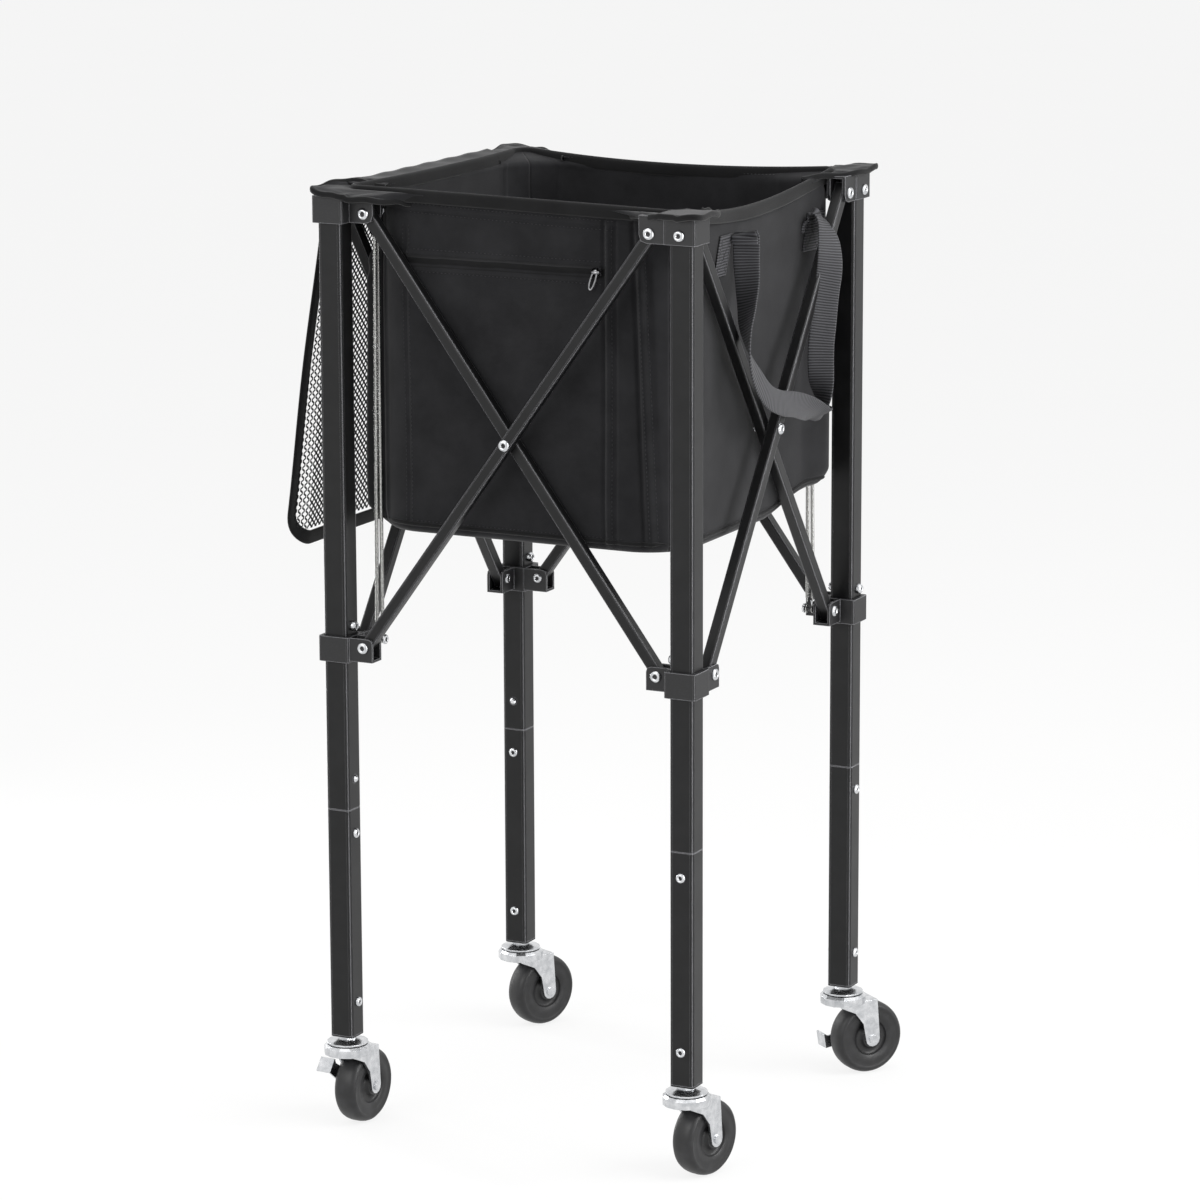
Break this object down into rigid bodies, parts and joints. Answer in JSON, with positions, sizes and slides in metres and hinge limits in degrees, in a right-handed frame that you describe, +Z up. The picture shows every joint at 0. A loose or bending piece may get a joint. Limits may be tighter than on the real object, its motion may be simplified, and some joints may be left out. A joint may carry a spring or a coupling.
{
  "type": "tennis ball hopper",
  "caption": "Folding ball hopper on swivel casters: scissor frame on square legs, open fabric bag with zipped pocket, mesh lid and webbing handle",
  "frame": {"origin": "on the floor, under the middle of the whole part's box", "axes": "+Z up, -Y towards the zipped front, +X towards the side with the handle, -X towards the side with the lid; the legs' centre is at x 0.0106, y -0.0186 m"},
  "size_m": [0.4834, 0.4562, 0.94],
  "materials": {
    "legs": "black satin paint on round-cornered square tube",
    "bars": "black satin paint on square tube, bright rivets",
    "brackets": "black textured paint, bright rivets",
    "zinc": "bright zinc plate",
    "tread": "matte black rubber",
    "plastic": "matte black",
    "cloth": "dark woven polyester",
    "net": "dark bound mesh",
    "webbing": "grey ribbed webbing",
    "zip": "black painted"
  },
  "bodies": {
    "leg_a": {"upper_leg_a": "legs", "lower_leg_a": "legs", "end_cap_a": "plastic", "top_bracket_a": "brackets", "caster_stem_a": "zinc", "bag": "cloth", "spring_a_1": "zinc", "spring_a_2": "zinc"},
    "leg_b": {"upper_leg_b": "legs", "lower_leg_b": "legs", "end_cap_b": "plastic", "top_bracket_b": "brackets", "caster_stem_b": "zinc"},
    "leg_c": {"upper_leg_c": "legs", "lower_leg_c": "legs", "end_cap_c": "plastic", "top_bracket_c": "brackets", "caster_stem_c": "zinc", "spring_c_1": "zinc", "spring_c_2": "zinc"},
    "leg_d": {"upper_leg_d": "legs", "lower_leg_d": "legs", "end_cap_d": "plastic", "top_bracket_d": "brackets", "caster_stem_d": "zinc"},
    "front_inner": {"bar_front_inner": "bars"},
    "front_outer": {"bar_front_outer": "bars"},
    "right_inner": {"bar_right_inner": "bars"},
    "right_outer": {"bar_right_outer": "bars"},
    "rear_inner": {"bar_rear_inner": "bars"},
    "rear_outer": {"bar_rear_outer": "bars"},
    "left_inner": {"bar_left_inner": "bars"},
    "left_outer": {"bar_left_outer": "bars"},
    "slider_a": {"slider_a": "brackets"},
    "button_a": {"lock_button_a": "zinc"},
    "fork_a": {"caster_fork_a": "zinc"},
    "wheel_a": {"caster_wheel_a": "tread"},
    "slider_b": {"slider_b": "brackets"},
    "button_b": {"lock_button_b": "zinc"},
    "fork_b": {"caster_fork_b": "zinc"},
    "wheel_b": {"caster_wheel_b": "tread"},
    "slider_c": {"slider_c": "brackets"},
    "button_c": {"lock_button_c": "zinc"},
    "fork_c": {"caster_fork_c": "zinc"},
    "wheel_c": {"caster_wheel_c": "tread"},
    "slider_d": {"slider_d": "brackets"},
    "button_d": {"lock_button_d": "zinc"},
    "fork_d": {"caster_fork_d": "zinc"},
    "wheel_d": {"caster_wheel_d": "tread"},
    "brake_a": {"brake_lever_a": "zinc"},
    "brake_c": {"brake_lever_c": "zinc"},
    "lid": {"lid": "net"},
    "handle": {"handle": "webbing"},
    "zip_slider": {"zip_slider": "zip"},
    "zip_pull": {"zip_pull": "zip"}
  },
  "joints": [
    {"name": "fold", "type": "hinge", "parent": "leg_a", "child": "front_inner", "pos_m": [-0.14374, -0.19664, 0.914], "axis": [0, 1, 0], "range_deg": [0, 33.8], "stiffness_Nm_per_rad": 8, "springref_deg": -51.57, "deforming": ["bag", "handle", "spring_a_1", "spring_a_2", "spring_c_1", "spring_c_2"]},
    {"name": "front_crossing", "type": "hinge", "parent": "front_inner", "child": "front_outer", "pos_m": [0.01056, -0.20314, 0.7035], "axis": [0, -1, 0], "range_deg": [0, 67.6]},
    {"name": "front_top_b", "type": "hinge", "parent": "front_outer", "child": "leg_b", "pos_m": [0.16486, -0.20964, 0.914], "axis": [0, 1, 0], "range_deg": [0, 33.8]},
    {"name": "front_low_a", "type": "hinge", "parent": "front_outer", "child": "slider_a", "pos_m": [-0.14374, -0.20964, 0.493], "axis": [0, 1, 0], "range_deg": [0, 33.8]},
    {"name": "front_low_b", "type": "hinge", "parent": "front_inner", "child": "slider_b", "pos_m": [0.16486, -0.19664, 0.493], "axis": [0, -1, 0], "range_deg": [0, 33.8]},
    {"name": "left_top_a", "type": "hinge", "parent": "leg_a", "child": "left_outer", "pos_m": [-0.18044, -0.17294, 0.914], "axis": [-1, 0, 0], "range_deg": [0, 33.8]},
    {"name": "left_crossing", "type": "hinge", "parent": "left_outer", "child": "left_inner", "pos_m": [-0.17394, -0.01864, 0.7035], "axis": [1, 0, 0], "range_deg": [0, 67.6]},
    {"name": "left_top_d", "type": "hinge", "parent": "left_inner", "child": "leg_d", "pos_m": [-0.16744, 0.13566, 0.914], "axis": [-1, 0, 0], "range_deg": [0, 33.8]},
    {"name": "left_low_d", "type": "hinge", "parent": "left_outer", "child": "slider_d", "pos_m": [-0.18044, 0.13566, 0.493], "axis": [1, 0, 0], "range_deg": [0, 33.8]},
    {"name": "right_top_b", "type": "hinge", "parent": "leg_b", "child": "right_inner", "pos_m": [0.18856, -0.17294, 0.914], "axis": [-1, 0, 0], "range_deg": [0, 33.8]},
    {"name": "right_crossing", "type": "hinge", "parent": "right_inner", "child": "right_outer", "pos_m": [0.19506, -0.01864, 0.7035], "axis": [1, 0, 0], "range_deg": [0, 67.6]},
    {"name": "right_top_c", "type": "hinge", "parent": "right_outer", "child": "leg_c", "pos_m": [0.20156, 0.13566, 0.914], "axis": [-1, 0, 0], "range_deg": [0, 33.8]},
    {"name": "right_low_c", "type": "hinge", "parent": "right_inner", "child": "slider_c", "pos_m": [0.18856, 0.13566, 0.493], "axis": [1, 0, 0], "range_deg": [0, 33.8]},
    {"name": "rear_top_d", "type": "hinge", "parent": "leg_d", "child": "rear_outer", "pos_m": [-0.14374, 0.17236, 0.914], "axis": [0, 1, 0], "range_deg": [0, 33.8]},
    {"name": "rear_crossing", "type": "hinge", "parent": "rear_outer", "child": "rear_inner", "pos_m": [0.01056, 0.16586, 0.7035], "axis": [0, -1, 0], "range_deg": [0, 67.6]},
    {"name": "press_button_a", "type": "slide", "parent": "leg_a", "child": "button_a", "axis": [-1, 0, 0], "range_m": [0, 0.0045], "stiffness_N_per_m": 800, "springref_m": -0.002},
    {"name": "swivel_a", "type": "hinge", "parent": "leg_a", "child": "fork_a", "pos_m": [-0.17544, -0.20464, 0.08], "axis": [0, 0, 1], "continuous": true},
    {"name": "roll_a", "type": "hinge", "parent": "fork_a", "child": "wheel_a", "pos_m": [-0.17379, -0.17769, 0.0375], "axis": [-0.9981, 0.061, 0], "continuous": true},
    {"name": "tip_brake_a", "type": "hinge", "parent": "fork_a", "child": "brake_a", "pos_m": [-0.17379, -0.17769, 0.0375], "axis": [-0.9981, 0.061, 0], "range_deg": [-47, 0]},
    {"name": "press_button_b", "type": "slide", "parent": "leg_b", "child": "button_b", "axis": [0, -1, 0], "range_m": [0, 0.0045], "stiffness_N_per_m": 800, "springref_m": -0.002},
    {"name": "swivel_b", "type": "hinge", "parent": "leg_b", "child": "fork_b", "pos_m": [0.19656, -0.20464, 0.08], "axis": [0, 0, 1], "continuous": true},
    {"name": "roll_b", "type": "hinge", "parent": "fork_b", "child": "wheel_b", "pos_m": [0.20309, -0.17844, 0.0375], "axis": [-0.9703, 0.2419, 0], "continuous": true},
    {"name": "press_button_c", "type": "slide", "parent": "leg_c", "child": "button_c", "axis": [1, 0, 0], "range_m": [0, 0.0045], "stiffness_N_per_m": 800, "springref_m": -0.002},
    {"name": "swivel_c", "type": "hinge", "parent": "leg_c", "child": "fork_c", "pos_m": [0.19656, 0.16736, 0.08], "axis": [0, 0, 1], "continuous": true},
    {"name": "roll_c", "type": "hinge", "parent": "fork_c", "child": "wheel_c", "pos_m": [0.21281, 0.18892, 0.0375], "axis": [-0.7986, 0.6018, 0], "continuous": true},
    {"name": "tip_brake_c", "type": "hinge", "parent": "fork_c", "child": "brake_c", "pos_m": [0.21281, 0.18892, 0.0375], "axis": [-0.7986, 0.6018, 0], "range_deg": [0, 47]},
    {"name": "press_button_d", "type": "slide", "parent": "leg_d", "child": "button_d", "axis": [0, 1, 0], "range_m": [0, 0.0045], "stiffness_N_per_m": 800, "springref_m": -0.002},
    {"name": "swivel_d", "type": "hinge", "parent": "leg_d", "child": "fork_d", "pos_m": [-0.17544, 0.16736, 0.08], "axis": [0, 0, 1], "continuous": true},
    {"name": "roll_d", "type": "hinge", "parent": "fork_d", "child": "wheel_d", "pos_m": [-0.16467, 0.19212, 0.0375], "axis": [-0.9171, 0.3987, 0], "continuous": true},
    {"name": "swing_lid", "type": "hinge", "parent": "leg_a", "child": "lid", "pos_m": [-0.20294, -0.01864, 0.9352], "axis": [0, -1, 0], "range_deg": [-262, 0]},
    {"name": "swing_handle", "type": "hinge", "parent": "leg_b", "child": "handle", "pos_m": [0.18656, 0.01136, 0.896], "axis": [0, 1, 0], "range_deg": [-100, 0]},
    {"name": "slide_zip", "type": "slide", "parent": "leg_a", "child": "zip_slider", "axis": [1, 0, 0], "range_m": [-0.206, 0]},
    {"name": "swing_zip_pull", "type": "hinge", "parent": "zip_slider", "child": "zip_pull", "pos_m": [0.09456, -0.18924, 0.87], "axis": [0, 1, 0], "range_deg": [-60, 60]}
  ],
  "couplings": [
    {"joint": "front_crossing", "follows": "fold", "ratio": 2},
    {"joint": "front_top_b", "follows": "fold", "ratio": 1},
    {"joint": "front_low_a", "follows": "fold", "ratio": 1},
    {"joint": "front_low_b", "follows": "fold", "ratio": 1},
    {"joint": "left_top_a", "follows": "fold", "ratio": 1},
    {"joint": "left_crossing", "follows": "fold", "ratio": 2},
    {"joint": "left_top_d", "follows": "fold", "ratio": 1},
    {"joint": "left_low_d", "follows": "fold", "ratio": 1},
    {"joint": "right_top_b", "follows": "fold", "ratio": 1},
    {"joint": "right_crossing", "follows": "fold", "ratio": 2},
    {"joint": "right_top_c", "follows": "fold", "ratio": 1},
    {"joint": "right_low_c", "follows": "fold", "ratio": 1},
    {"joint": "rear_top_d", "follows": "fold", "ratio": 1},
    {"joint": "rear_crossing", "follows": "fold", "ratio": 2}
  ]
}
